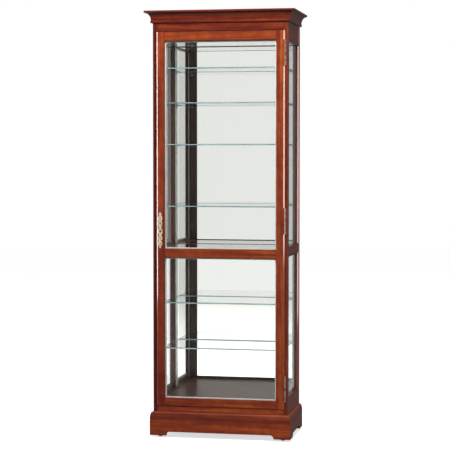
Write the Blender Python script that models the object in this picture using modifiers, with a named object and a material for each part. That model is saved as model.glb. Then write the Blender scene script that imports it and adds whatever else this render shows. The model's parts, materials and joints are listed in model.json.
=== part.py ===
"""Curio cabinet: a tall glazed display case with one hinged door, glass shelves and a mirror back.

Units are metres, +Z is up, and the door faces -Y. The origin is the centre of the footprint, on the floor.
"""

import math

import bmesh
import bpy
from mathutils import Matrix, Vector

# ---------------------------------------------------------------- driving dimensions
OVERALL_HEIGHT = 2.032
BODY_WIDTH = 0.650
BODY_DEPTH = 0.372
CROWN_OVERHANG = 0.036
GAP = 0.0003                   # left between any two pieces that touch
MITRE_GAP = 1.5 * GAP          # along the mouldings and boards that meet in a mitre
TOLERANCE = 0.0001             # within which a point counts as lying on an edge

HALF_WIDTH = BODY_WIDTH / 2
FRONT_Y = (CROWN_OVERHANG - BODY_DEPTH) / 2
BACK_Y = FRONT_Y + BODY_DEPTH

# Heights, from the floor up.
PLINTH_BOTTOM = 0.012
PLINTH_CUT_HEIGHT = 0.018
PLINTH_TOP = 0.094
CARCASS_BOTTOM = 0.125
DOOR_BOTTOM = 0.152
DECK_TOP = 0.185
MID_SHELF_TOP = 0.908
CEILING_BOTTOM = 1.884
DOOR_TOP = 1.934
CROWN_BOTTOM = 1.974
TOP_BOARD_THICKNESS = 0.010
CARCASS_TOP = OVERALL_HEIGHT - TOP_BOARD_THICKNESS - GAP
GLASS_SHELF_TOPS = (0.429, 0.647, 1.109, 1.403, 1.601, 1.766)

# Crown profile, outwards and upwards from the carcass.
CROWN_NOSE = 0.010
CROWN_NOSE_HEIGHT = 0.0115
CROWN_NOSE_UNDER_ROUND = 0.0055
CROWN_NOSE_TOP_ROUND = 0.0030
CROWN_STEP_OUT = 0.0075
CROWN_FILLET = 0.001           # upright step under the cove
CROWN_COVE_SET_IN = 0.0035     # top of the cove, in from the top board's edge
CROWN_COVE_STEPS = 10
TOP_BOARD_ROUND = 0.0022

# Base moulding profile: an upright step, a slope and a small cap.
BASE_STEP_HEIGHT = 0.004
BASE_STEP_ROUND = 0.002
BASE_SLOPE_TOP_OUT = 0.0105
BASE_CAP_HEIGHT = 0.006
BASE_SLOPE_TOP_ROUND = 0.003
BASE_CAP_OUT = 0.0030
BASE_CAP_ROUND = 0.004

# Frame members: widths are across the face, depths are front to back.
FRONT_POST_DEPTH = 0.030
FRONT_STOP_DEPTH = 0.040       # the inner lip of a front post, behind the door's edge
REAR_POST_WIDTH = 0.032
REAR_POST_DEPTH = 0.040
RAIL_THICKNESS = 0.022
FRONT_RAIL_DEPTH = 0.020
SIDE_TOP_RAIL_BOTTOM = 1.879
SIDE_MID_RAIL = (0.871, 0.919)
SIDE_BOTTOM_RAIL_TOP = 0.210
EDGE_ROUND = 0.0035
ARRIS = 0.0012                 # rounding of an inner or hidden edge
REAR_POST_CHAMFER = 0.0060     # along the outer front edge, which catches the light
CUT_REACH = 0.010              # how far a cutter runs past what it cuts

# Glazing.
PANE_THICKNESS = 0.004
PANE_IN_GROOVE = 0.005
GROOVE_DEPTH = PANE_IN_GROOVE + GAP
SIDE_PANE_INSET = 0.010        # outer face of a side pane, in from the cabinet's side
SHELF_THICKNESS = 0.006
SHELF_HALF_WIDTH = 0.289
SHELF_FRONT = 0.035            # front edge of a glass shelf, back from the cabinet's front
SHELF_DEPTH = 0.305
MIRROR_THICKNESS = 0.004
MIRROR_FACE = 0.3603           # reflecting face, back from the cabinet's front
BACK_PANEL_THICKNESS = 0.0054
PANEL_THICKNESS = 0.018        # deck and middle shelf
MID_SHELF_MEMBER = 0.036
MID_SHELF_LEDGE = 0.008
MID_SHELF_PANE = 0.005
CEILING_THICKNESS = 0.013

# Door.
DOOR_HALF_WIDTH = 0.3125
DOOR_THICKNESS = 0.020
STILE_WIDTH = 0.044
STILE_INNER = DOOR_HALF_WIDTH - STILE_WIDTH
STILE_CHAMFER_WIDTH = 0.0110   # along the outer edge of a stile
STILE_CHAMFER_DEPTH = 0.0060
CHAMFER_ARRIS = 0.0015
QUIRK_SET_IN = 0.0022          # a fine groove beside the chamfer
QUIRK_HALF_WIDTH = 0.0006
QUIRK_DEPTH = 0.0008
PANE_SIDE_ROUND = 0.0022       # a door member's edge beside a pane
DOOR_TOP_RAIL_BOTTOM = 1.889
DOOR_MID_RAIL = (0.8625, 0.905)
DOOR_BOTTOM_RAIL_TOP = 0.191
DOOR_PANE_FACE = 0.0097        # front face of a door pane, back from the cabinet's front
DOOR_CLEARANCE = 0.001         # round the door, in the front posts
DOOR_REVEAL = 0.0015           # between the door and the rails above and below it

# Butt hinges with the barrel proud of the front.
HINGE_X = 0.313
HINGE_Y = FRONT_Y - 0.0045
HINGE_HEIGHTS = ((0.191, 0.310), (0.982, 1.097), (1.770, 1.887))
BARREL_RADIUS = 0.0039
PIN_RADIUS = 0.0018
PIN_BORE = 0.0022
PIN_END = 0.001                # the pin's ends lie this far inside the barrel
KNUCKLES = 5
BARREL_SIDES = 14
PIN_SIDES = 12
KNUCKLE_GAP = 0.0005
LEAF_THICKNESS = 0.0012
LEAF_OFFSET = 0.0002           # each leaf's near face, from the hinge axis
LEAF_DEPTH = 0.0170
LEAF_SET_BACK = 0.0005
LEAF_LAP = 0.001               # how far a leaf's tabs run into it, and its mortise runs out of the wood

# Lock and escutcheon, on the free stile.
LOCK_X = -0.290
LOCK_Z = 0.986
LOCK_RADIUS = 0.005
LOCK_CLEARANCE = 0.0003
CAM_LENGTH = 0.018
CAM_WIDTH = 0.010
CAM_THICKNESS = 0.003
CAM_CLEARANCE = 0.001
KEYWAY = (0.0007, 0.0040, 0.0032)    # half width, depth, half height
ESCUTCHEON_THICKNESS = 0.0022
ESCUTCHEON_NECK = 0.0022       # least half width between its lobes
ESCUTCHEON_STEPS = 85
ESCUTCHEON_HOLE_SIDES = 14
# Lobes of the escutcheon, as centre height, half height and half width.
ESCUTCHEON_LOBES = (
    (0.9140, 0.0070, 0.0046),
    (0.9290, 0.0120, 0.0104),
    (0.9420, 0.0050, 0.0064),
    (0.9550, 0.0130, 0.0104),
    (0.9690, 0.0050, 0.0064),
    (LOCK_Z, 0.0165, 0.0120),
    (1.0070, 0.0060, 0.0066),
    (1.0245, 0.0145, 0.0108),
    (1.0485, 0.0150, 0.0102),
    (1.0650, 0.0120, 0.0056),
)
# Pierced openings, in the same form.
ESCUTCHEON_HOLES = (
    (0.9290, 0.0036, 0.0030),
    (0.9550, 0.0040, 0.0030),
    (LOCK_Z, LOCK_RADIUS + LOCK_CLEARANCE, LOCK_RADIUS + LOCK_CLEARANCE),
    (1.0245, 0.0065, 0.0032),
    (1.0500, 0.0055, 0.0030),
)

# Plinth, its moulding and the levelling feet.
PLINTH_PROJECTION = 0.015
PLINTH_THICKNESS = 0.018
PLINTH_FOOT_LENGTH = 0.080
PLINTH_RAMP_LENGTH = 0.017
BASE_MOULDING_INNER = -0.030
LEVELER_RAIL = (0.045, 0.080)
LEVELER_RAIL_INNER_X = 0.274
LEVELER_X = 0.298
LEVELER_FROM_FRONT = 0.034
LEVELER_FROM_BACK = 0.045
LEVELER_STEM_RADIUS = 0.004
LEVELER_TIP_BELOW = 0.002      # from the top of its rail down to the stem's tip
LEVELER_TIP_CHAMFER = 0.0008
# Outline of a foot's pad, as radius and height, from the stem down to the tread.
LEVELER_PAD = (
    (LEVELER_STEM_RADIUS, 0.0150),
    (0.0080, 0.0150),
    (0.0125, 0.0120),
    (0.0125, 0.0080),
    (0.0112, 0.0035),
    (0.0092, 0.0010),
    (0.0070, 0.0),
    (0.0, 0.0),
)
LEVELER_HOLE_RADIUS = 0.0044

ARC_STEPS = 6
ROUND_SEGMENTS = 20

# ---------------------------------------------------------------- materials
CHERRY = ("cherry_wood", (0.250, 0.048, 0.020), 0.32, 0.0)
CHERRY_DARK = ("cherry_wood_inside", (0.110, 0.026, 0.014), 0.30, 0.0)
WHITE_LAMINATE = ("white_laminate", (0.720, 0.700, 0.670), 0.45, 0.0)
HARDBOARD = ("hardboard", (0.150, 0.080, 0.045), 0.75, 0.0)
CLEAR_GLASS = ("clear_glass", (0.85, 0.93, 0.92), 0.03, 0.0)
MIRROR_GLASS = ("mirror_glass", (0.90, 0.91, 0.90), 0.02, 1.0)
PALE_BRASS = ("pale_brass", (0.80, 0.66, 0.38), 0.30, 1.0)
BRONZE = ("dark_bronze", (0.070, 0.050, 0.040), 0.38, 1.0)
STEEL = ("zinc_steel", (0.42, 0.42, 0.43), 0.35, 1.0)
BLACK_PLASTIC = ("black_foot", (0.020, 0.020, 0.022), 0.55, 0.0)


def clear_scene():
    for leftover in list(bpy.data.objects):
        bpy.data.objects.remove(leftover, do_unlink=True)


def make_collection(name):
    collection = bpy.data.collections.new(name)
    bpy.context.scene.collection.children.link(collection)
    return collection


def make_material(node_name, finish):
    """One Principled BSDF for one sub-part."""
    name, colour, roughness, metallic = finish
    material = bpy.data.materials.new(name + "_" + node_name)
    material.use_nodes = True
    shader = material.node_tree.nodes["Principled BSDF"]
    shader.inputs["Base Color"].default_value = (*colour, 1.0)
    shader.inputs["Roughness"].default_value = roughness
    shader.inputs["Metallic"].default_value = metallic
    material.diffuse_color = (*colour, 1.0)
    return material


def make_pivot(name, location, parent=None):
    """An empty on a joint's axis, which carries the pieces that move with it."""
    pivot = bpy.data.objects.new(name, None)
    pivot.empty_display_size = 0.02
    if parent:
        pivot.parent = parent
        pivot.location = Vector(location) - parent.matrix_world.translation
    else:
        pivot.location = location
    cabinet.objects.link(pivot)
    bpy.context.view_layer.update()
    return pivot


def place(name, bm, finish, pivot):
    """Turn world-space geometry into a named piece whose origin is its pivot."""
    bmesh.ops.recalc_face_normals(bm, faces=bm.faces)
    bmesh.ops.translate(bm, vec=-pivot.matrix_world.translation, verts=bm.verts)
    mesh = bpy.data.meshes.new(name)
    bm.to_mesh(mesh)
    bm.free()
    mesh.shade_smooth()
    mesh.set_sharp_from_angle(angle=math.radians(32))
    piece = bpy.data.objects.new(name, mesh)
    piece.parent = pivot
    piece.data.materials.append(make_material(name, finish))
    cabinet.objects.link(piece)
    return piece


def place_cutter(name, bm):
    bmesh.ops.recalc_face_normals(bm, faces=bm.faces)
    mesh = bpy.data.meshes.new(name)
    bm.to_mesh(mesh)
    bm.free()
    cutter = bpy.data.objects.new(name, mesh)
    cutter.hide_render = True
    cutter.display_type = "WIRE"
    cutters.objects.link(cutter)
    return cutter


def combine(piece, other, operation):
    modifier = piece.modifiers.new(operation.title() + "_" + other.name, "BOOLEAN")
    modifier.operation = operation
    modifier.object = other
    modifier.solver = "EXACT"


def box(low, high):
    bm = bmesh.new()
    bmesh.ops.create_cube(bm, size=1.0)
    low = Vector(low)
    high = Vector(high)
    bmesh.ops.scale(bm, vec=high - low, verts=bm.verts)
    bmesh.ops.translate(bm, vec=(low + high) / 2, verts=bm.verts)
    return bm


def cylinder(radius, start, end, segments=ROUND_SEGMENTS):
    """A round bar between two points."""
    start = Vector(start)
    end = Vector(end)
    bm = bmesh.new()
    bmesh.ops.create_cone(bm, cap_ends=True, segments=segments, radius1=radius, radius2=radius,
                          depth=(end - start).length)
    turn = (end - start).to_track_quat("Z", "Y").to_matrix().to_4x4()
    bmesh.ops.transform(bm, matrix=Matrix.Translation((start + end) / 2) @ turn, verts=bm.verts)
    return bm


def rounded(corners, steps=ARC_STEPS):
    """An outline from (a, b) corners, or (a, b, radius) where the corner is an arc."""
    outline = []
    for index, corner in enumerate(corners):
        here = Vector(corner[:2])
        if len(corner) == 2:
            outline.append(here)
            continue
        radius = corner[2]
        to_last = (Vector(corners[index - 1][:2]) - here).normalized()
        to_next = (Vector(corners[(index + 1) % len(corners)][:2]) - here).normalized()
        half_angle = to_last.angle(to_next) / 2
        centre = here + (to_last + to_next).normalized() * radius / math.sin(half_angle)
        first = here + to_last * radius / math.tan(half_angle) - centre
        last = here + to_next * radius / math.tan(half_angle) - centre
        sweep = math.pi - 2 * half_angle
        for step in range(steps + 1):
            share = step / steps
            outline.append(centre + (first * math.sin((1 - share) * sweep)
                                     + last * math.sin(share * sweep)) / math.sin(sweep))
    return outline


def prism(outline, place_start, place_end):
    """A bar with the same outline at both ends, where each end says how (a, b) maps to space."""
    bm = bmesh.new()
    first = [bm.verts.new(place_start(a, b)) for a, b in outline]
    face = bm.faces.new(first)
    extruded = bmesh.ops.extrude_face_region(bm, geom=[face])
    bm.verts.ensure_lookup_table()
    far_verts = [item for item in extruded["geom"] if isinstance(item, bmesh.types.BMVert)]
    targets = {}
    for (a, b), vert in zip(outline, first):
        targets[tuple(round(value, 7) for value in vert.co)] = place_end(a, b)
    for vert in far_verts:
        vert.co = targets[tuple(round(value, 7) for value in vert.co)]
    return bm


def bar_x(outline, low, high):
    """A bar along X with an outline in (y, z)."""
    return prism(outline, lambda y, z: (low, y, z), lambda y, z: (high, y, z))


def bar_y(outline, low, high):
    """A bar along Y with an outline in (x, z)."""
    return prism(outline, lambda x, z: (x, low, z), lambda x, z: (x, high, z))


def bar_z(outline, low, high):
    """A bar along Z with an outline in (x, y)."""
    return prism(outline, lambda x, y: (x, y, low), lambda x, y: (x, y, high))


def mirrored(outline, side):
    """The outline for side -1, drawn for side +1."""
    return [(side * a, b) for a, b in outline]


def grooved(outline_before, groove_centre, groove_edge, towards, along_first):
    """Insert a pane groove into an outline, just after the points given.

    The groove opens at groove_edge and runs `towards` (+1 or -1) into the member.
    """
    half = PANE_THICKNESS / 2 + GAP
    deep = groove_edge + towards * GROOVE_DEPTH
    points = [(groove_centre - half, groove_edge), (groove_centre - half, deep),
              (groove_centre + half, deep), (groove_centre + half, groove_edge)]
    if along_first:
        points.reverse()
    return outline_before + points


# ---------------------------------------------------------------- carcass
SIDE_PANE_X = HALF_WIDTH - SIDE_PANE_INSET - PANE_THICKNESS / 2
REAR_POST_FRONT = BACK_Y - REAR_POST_DEPTH
INNER_X = HALF_WIDTH - RAIL_THICKNESS


def front_post(side):
    """An L-shaped post: the door's edge lies in the rabbet in front of the inner lip."""
    groove_edge = FRONT_Y + FRONT_POST_DEPTH
    corners = [(INNER_X, FRONT_Y), (HALF_WIDTH, FRONT_Y, EDGE_ROUND), (HALF_WIDTH, groove_edge, ARRIS)]
    corners = grooved(corners, SIDE_PANE_X, groove_edge, -1, True)
    lip_outer = SIDE_PANE_X - PANE_THICKNESS / 2 - GAP
    corners[-1] = (lip_outer, FRONT_Y + FRONT_STOP_DEPTH)
    corners.append((INNER_X, FRONT_Y + FRONT_STOP_DEPTH, ARRIS))
    bm = bar_z(mirrored(rounded(corners, 4), side), CARCASS_BOTTOM, CARCASS_TOP)
    post = place("front_post_left" if side < 0 else "front_post_right", bm, CHERRY, carcass)

    rabbet_x = DOOR_HALF_WIDTH + DOOR_CLEARANCE
    low_x, high_x = sorted((side * (INNER_X - CUT_REACH), side * rabbet_x))
    rabbet = box((low_x, FRONT_Y - CUT_REACH, DOOR_BOTTOM - DOOR_CLEARANCE),
                 (high_x, FRONT_Y + DOOR_THICKNESS + DOOR_CLEARANCE, DOOR_TOP + DOOR_CLEARANCE))
    combine(post, place_cutter(post.name + "_rabbet", rabbet), "DIFFERENCE")
    return post


def rear_post(side):
    """A post with a pane groove in front and a rebate for the mirror and the back panel."""
    inner_x = HALF_WIDTH - REAR_POST_WIDTH
    rebate_x = INNER_X
    corners = [(inner_x, FRONT_Y + MIRROR_FACE - GAP), (inner_x, REAR_POST_FRONT, ARRIS)]
    corners = grooved(corners, SIDE_PANE_X, REAR_POST_FRONT, 1, False)
    corners += [(HALF_WIDTH - REAR_POST_CHAMFER, REAR_POST_FRONT, ARRIS),
                (HALF_WIDTH, REAR_POST_FRONT + REAR_POST_CHAMFER, ARRIS), (HALF_WIDTH, BACK_Y, ARRIS),
                (rebate_x, BACK_Y), (rebate_x, FRONT_Y + MIRROR_FACE - GAP)]
    bm = bar_z(mirrored(rounded(corners, 4), side), CARCASS_BOTTOM, CARCASS_TOP)
    place("rear_post_left" if side < 0 else "rear_post_right", bm, CHERRY, carcass)


def front_rails():
    """The frieze over the door and the narrow rail under it, between the front posts."""
    end = INNER_X - GAP
    back = FRONT_Y + FRONT_RAIL_DEPTH
    for name, low, high in (("frieze_rail", DOOR_TOP + DOOR_REVEAL, CARCASS_TOP),
                            ("front_bottom_rail", CARCASS_BOTTOM, DOOR_BOTTOM - DOOR_REVEAL)):
        outline = rounded([(FRONT_Y, low, ARRIS), (back, low), (back, high), (FRONT_Y, high, ARRIS)], 3)
        place(name, bar_x(outline, -end, end), CHERRY, carcass)


def side_rail(name, side, low, high, pane_above, pane_below):
    """A side rail between the posts, grooved where a pane meets it."""
    outer = HALF_WIDTH
    corners = [(INNER_X, low, ARRIS)]
    if pane_below:
        corners = grooved(corners, SIDE_PANE_X, low, 1, False)
    corners += [(outer, low, ARRIS), (outer, high, ARRIS)]
    if pane_above:
        corners = grooved(corners, SIDE_PANE_X, high, -1, True)
    corners.append((INNER_X, high, ARRIS))
    outline = mirrored(rounded(corners, 3), side)
    bm = bar_y(outline, FRONT_Y + FRONT_POST_DEPTH + GAP, REAR_POST_FRONT - GAP)
    rail = place(name, bm, CHERRY, carcass)
    notch_x = sorted((side * (INNER_X - CUT_REACH), side * (SIDE_PANE_X - PANE_THICKNESS / 2)))
    notch = box((notch_x[0], FRONT_Y, low - CUT_REACH),
                (notch_x[1], FRONT_Y + FRONT_STOP_DEPTH + GAP, high + CUT_REACH))
    combine(rail, place_cutter(name + "_notch", notch), "DIFFERENCE")


def side_rails(side, word):
    side_rail("side_top_rail_" + word, side, SIDE_TOP_RAIL_BOTTOM, CARCASS_TOP, False, True)
    side_rail("side_mid_rail_" + word, side, *SIDE_MID_RAIL, True, True)
    side_rail("side_bottom_rail_" + word, side, CARCASS_BOTTOM, SIDE_BOTTOM_RAIL_TOP, True, False)


def side_pane(name, side, low, high):
    centre = side * SIDE_PANE_X
    front = FRONT_Y + FRONT_POST_DEPTH - PANE_IN_GROOVE
    back = REAR_POST_FRONT + PANE_IN_GROOVE
    bm = box((centre - PANE_THICKNESS / 2, front, low - PANE_IN_GROOVE),
             (centre + PANE_THICKNESS / 2, back, high + PANE_IN_GROOVE))
    place(name, bm, CLEAR_GLASS, carcass)


def side_panes(side, word):
    side_pane("side_glass_upper_" + word, side, SIDE_MID_RAIL[1], SIDE_TOP_RAIL_BOTTOM)
    side_pane("side_glass_lower_" + word, side, SIDE_BOTTOM_RAIL_TOP, SIDE_MID_RAIL[0])


def interior_outline():
    """Plan of a panel that fills the carcass behind the door, notched round the rear posts."""
    wide = INNER_X - GAP
    narrow = HALF_WIDTH - REAR_POST_WIDTH - GAP
    front = FRONT_Y + FRONT_STOP_DEPTH + GAP
    stop_front = FRONT_Y + DOOR_THICKNESS + DOOR_CLEARANCE + GAP
    notch = REAR_POST_FRONT - GAP
    back = FRONT_Y + MIRROR_FACE - 2 * GAP
    right = [(wide, stop_front), (wide, front), (wide, notch), (narrow, notch), (narrow, back)]
    left = [(-x, y) for x, y in reversed(right)]
    return right + left


def horizontal_panels():
    outline = interior_outline()
    for name, low, thickness, finish in (
            ("deck_floor", DECK_TOP - PANEL_THICKNESS, PANEL_THICKNESS, CHERRY_DARK),
            ("ceiling_panel", CEILING_BOTTOM, CEILING_THICKNESS, WHITE_LAMINATE)):
        place(name, bar_z(outline, low, low + thickness), finish, carcass)


def middle_shelf():
    """A fixed wooden frame at the height of the middle rails, with a glass panel let into it."""
    bottom = MID_SHELF_TOP - PANEL_THICKNESS
    frame = place("mid_shelf_frame", bar_z(interior_outline(), bottom, MID_SHELF_TOP), CHERRY_DARK, carcass)
    ledge = MID_SHELF_LEDGE
    pane = MID_SHELF_PANE
    half = INNER_X - MID_SHELF_MEMBER
    front = FRONT_Y + DOOR_THICKNESS + MID_SHELF_MEMBER
    back = FRONT_Y + MIRROR_FACE - MID_SHELF_MEMBER
    through = box((-half + ledge, front + ledge, bottom - CUT_REACH),
                  (half - ledge, back - ledge, MID_SHELF_TOP - pane))
    combine(frame, place_cutter("mid_shelf_light", through), "DIFFERENCE")
    rebate = box((-half, front, MID_SHELF_TOP - pane - GAP), (half, back, MID_SHELF_TOP + CUT_REACH))
    combine(frame, place_cutter("mid_shelf_rebate", rebate), "DIFFERENCE")
    glass = box((-half + GAP, front + GAP, MID_SHELF_TOP - pane),
                (half - GAP, back - GAP, MID_SHELF_TOP))
    place("mid_shelf_glass", glass, CLEAR_GLASS, carcass)


def glass_shelves():
    front = FRONT_Y + SHELF_FRONT
    for number, top in enumerate(GLASS_SHELF_TOPS, start=1):
        bm = box((-SHELF_HALF_WIDTH, front, top - SHELF_THICKNESS),
                 (SHELF_HALF_WIDTH, front + SHELF_DEPTH, top))
        bmesh.ops.bevel(bm, geom=bm.edges[:], offset=ARRIS, segments=1, affect="EDGES")
        place("glass_shelf_%d" % number, bm, CLEAR_GLASS, carcass)


def back():
    wide = INNER_X - GAP
    mirror_front = FRONT_Y + MIRROR_FACE
    mirror_back = mirror_front + MIRROR_THICKNESS
    mirror = box((-wide, mirror_front, DOOR_BOTTOM), (wide, mirror_back, DOOR_TOP))
    place("back_mirror", mirror, MIRROR_GLASS, carcass)
    panel = box((-wide, mirror_back + GAP, CARCASS_BOTTOM),
                (wide, mirror_back + GAP + BACK_PANEL_THICKNESS, CARCASS_TOP))
    place("back_panel", panel, HARDBOARD, carcass)


# ---------------------------------------------------------------- mouldings and plinth
def moulding(stem, profile):
    """A moulding round the front and the sides, mitred at the front corners.

    The profile is (distance out from the cabinet's faces, height).
    """

    def front_end(side):
        return lambda out, z: (side * (HALF_WIDTH + out), FRONT_Y - out, z)

    place(stem + "_front", prism(profile, front_end(-1), front_end(1)), CHERRY, carcass)
    for side, word in ((-1, "left"), (1, "right")):
        bm = prism(profile,
                   lambda out, z: (side * (HALF_WIDTH + out), FRONT_Y - out + MITRE_GAP, z),
                   lambda out, z: (side * (HALF_WIDTH + out), BACK_Y, z))
        place(stem + "_" + word, bm, CHERRY, carcass)


def crown():
    """A rounded nose, a small step and a cove, under a flat top board."""
    nose_top = CROWN_BOTTOM + CROWN_NOSE_HEIGHT
    cove_bottom = nose_top + CROWN_FILLET
    cove_top = OVERALL_HEIGHT - TOP_BOARD_THICKNESS - GAP
    cove_out = CROWN_OVERHANG - CROWN_COVE_SET_IN
    profile = rounded([(GAP, CROWN_BOTTOM), (CROWN_NOSE, CROWN_BOTTOM, CROWN_NOSE_UNDER_ROUND),
                       (CROWN_NOSE, nose_top, CROWN_NOSE_TOP_ROUND), (CROWN_STEP_OUT, nose_top)], 5)
    for step in range(CROWN_COVE_STEPS + 1):
        angle = math.pi / 2 * step / CROWN_COVE_STEPS
        profile.append(Vector((cove_out - (cove_out - CROWN_STEP_OUT) * math.cos(angle),
                               cove_bottom + (cove_top - cove_bottom) * math.sin(angle))))
    profile.append(Vector((GAP, cove_top)))
    moulding("crown", profile)

    reach = HALF_WIDTH + CROWN_OVERHANG
    board = box((-reach, FRONT_Y - CROWN_OVERHANG, OVERALL_HEIGHT - TOP_BOARD_THICKNESS),
                (reach, BACK_Y, OVERALL_HEIGHT))
    edges = [edge for edge in board.edges if min(vert.co.y for vert in edge.verts) < 0]
    bmesh.ops.bevel(board, geom=edges, offset=TOP_BOARD_ROUND, segments=3, affect="EDGES", profile=0.5)
    place("top_board", board, CHERRY, carcass)


def base_moulding():
    """The sloped band between the plinth and the carcass."""
    low = PLINTH_TOP + GAP
    high = CARCASS_BOTTOM - GAP
    out = PLINTH_PROJECTION
    profile = rounded([(BASE_MOULDING_INNER, low), (out, low),
                       (out, low + BASE_STEP_HEIGHT, BASE_STEP_ROUND),
                       (BASE_SLOPE_TOP_OUT, high - BASE_CAP_HEIGHT, BASE_SLOPE_TOP_ROUND),
                       (BASE_CAP_OUT, high, BASE_CAP_ROUND), (BASE_MOULDING_INNER, high)], 4)
    moulding("base_moulding", profile)


def bracket_outline(half_length):
    """Outline of a plinth board: two feet, coved ramps and a raised middle."""
    cut = PLINTH_BOTTOM + PLINTH_CUT_HEIGHT
    foot = half_length - PLINTH_FOOT_LENGTH
    inner = foot - PLINTH_RAMP_LENGTH
    right = [(foot, PLINTH_BOTTOM), (half_length, PLINTH_BOTTOM), (half_length, PLINTH_TOP)]
    ramp = []
    for step in range(ARC_STEPS + 1):
        angle = math.pi / 2 * step / ARC_STEPS
        ramp.append((inner + PLINTH_RAMP_LENGTH * math.sin(angle),
                     PLINTH_BOTTOM + PLINTH_CUT_HEIGHT * math.cos(angle)))
    half = ramp[:-1] + right
    return [(-a, b) for a, b in reversed(half)] + half


def plinth():
    """Three mitred bracket boards, a plain back board and the two rails that take the feet."""
    out = PLINTH_PROJECTION
    reach = HALF_WIDTH + out
    front = FRONT_Y - out

    def mitred_in(value, end):
        return value - math.copysign(PLINTH_THICKNESS, value) if abs(value) > end - TOLERANCE else value

    board = prism(bracket_outline(reach), lambda x, z: (x, front, z),
                  lambda x, z: (mitred_in(x, reach), front + PLINTH_THICKNESS, z))
    place("plinth_front", board, CHERRY, carcass)

    length = BACK_Y - front
    middle = (BACK_Y + front) / 2
    for side, word in ((-1, "left"), (1, "right")):
        def outer(a, z):
            start = MITRE_GAP if a < -length / 2 + TOLERANCE else 0.0
            return (side * reach, middle + a + start, z)

        def inner(a, z):
            start = MITRE_GAP + PLINTH_THICKNESS if a < -length / 2 + TOLERANCE else 0.0
            return (side * (reach - PLINTH_THICKNESS), middle + a + start, z)

        place("plinth_" + word, prism(bracket_outline(length / 2), outer, inner), CHERRY, carcass)

    inside = reach - PLINTH_THICKNESS - GAP
    # The back board rises between the side mouldings to meet the back panel.
    shoulder = HALF_WIDTH + BASE_MOULDING_INNER - GAP
    top = CARCASS_BOTTOM - GAP
    outline = [(-inside, PLINTH_BOTTOM), (inside, PLINTH_BOTTOM), (inside, PLINTH_TOP),
               (shoulder, PLINTH_TOP), (shoulder, top), (-shoulder, top),
               (-shoulder, PLINTH_TOP), (-inside, PLINTH_TOP)]
    place("plinth_back", bar_y(outline, BACK_Y - PLINTH_THICKNESS, BACK_Y), CHERRY_DARK, carcass)

    for side, word in ((-1, "left"), (1, "right")):
        low_x, high_x = sorted((side * LEVELER_RAIL_INNER_X, side * inside))
        rail = box((low_x, front + PLINTH_THICKNESS + GAP, LEVELER_RAIL[0]),
                   (high_x, BACK_Y - PLINTH_THICKNESS - GAP, LEVELER_RAIL[1]))
        rail_piece = place("leveler_rail_" + word, rail, CHERRY_DARK, carcass)
        for end, y in leveler_places():
            hole = cylinder(LEVELER_HOLE_RADIUS, (side * LEVELER_X, y, LEVELER_RAIL[0] - CUT_REACH),
                            (side * LEVELER_X, y, LEVELER_RAIL[1] + CUT_REACH))
            combine(rail_piece, place_cutter("leveler_hole_%s_%s" % (end, word), hole), "DIFFERENCE")


def leveler_places():
    return (("front", FRONT_Y + LEVELER_FROM_FRONT), ("rear", BACK_Y - LEVELER_FROM_BACK))


def levelers():
    """Four screwed feet, turned about their own stems."""
    tip_z = LEVELER_RAIL[1] - LEVELER_TIP_BELOW
    profile = [(0.0, tip_z), (LEVELER_STEM_RADIUS - LEVELER_TIP_CHAMFER, tip_z),
               (LEVELER_STEM_RADIUS, tip_z - LEVELER_TIP_CHAMFER), *LEVELER_PAD]
    for side, word in ((-1, "left"), (1, "right")):
        for end, y in leveler_places():
            name = "leveler_%s_%s" % (end, word)
            pivot = make_pivot(name + "_axis", (side * LEVELER_X, y, 0.0), carcass)
            bm = bmesh.new()
            verts = [bm.verts.new((side * LEVELER_X + radius, y, z)) for radius, z in profile]
            for first, second in zip(verts, verts[1:]):
                bm.edges.new((first, second))
            foot = place(name, bm, BLACK_PLASTIC, pivot)
            turn = foot.modifiers.new("Turn", "SCREW")
            turn.axis = "Z"
            turn.steps = ROUND_SEGMENTS
            turn.render_steps = ROUND_SEGMENTS
            turn.use_merge_vertices = True
            turn.merge_threshold = TOLERANCE
            turn.use_smooth_shade = True


# ---------------------------------------------------------------- door
def door_stile(side):
    """A stile with a chamfered outer edge, set off from the flat by a fine groove."""
    chamfer_x = DOOR_HALF_WIDTH - STILE_CHAMFER_WIDTH
    quirk_x = chamfer_x - QUIRK_SET_IN
    pane_centre = FRONT_Y + DOOR_PANE_FACE + PANE_THICKNESS / 2
    groove_half = PANE_THICKNESS / 2 + GAP
    deep = STILE_INNER + GROOVE_DEPTH
    back = FRONT_Y + DOOR_THICKNESS
    corners = [(STILE_INNER, FRONT_Y, PANE_SIDE_ROUND), (quirk_x - QUIRK_HALF_WIDTH, FRONT_Y),
               (quirk_x, FRONT_Y + QUIRK_DEPTH), (quirk_x + QUIRK_HALF_WIDTH, FRONT_Y),
               (chamfer_x, FRONT_Y, CHAMFER_ARRIS),
               (DOOR_HALF_WIDTH, FRONT_Y + STILE_CHAMFER_DEPTH, CHAMFER_ARRIS),
               (DOOR_HALF_WIDTH, back, ARRIS), (STILE_INNER, back),
               (STILE_INNER, pane_centre + groove_half), (deep, pane_centre + groove_half),
               (deep, pane_centre - groove_half), (STILE_INNER, pane_centre - groove_half)]
    outline = mirrored(rounded(corners, 6), side)
    word = "left" if side < 0 else "right"
    return place("door_stile_" + word, bar_z(outline, DOOR_BOTTOM, DOOR_TOP), CHERRY, door)


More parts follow.
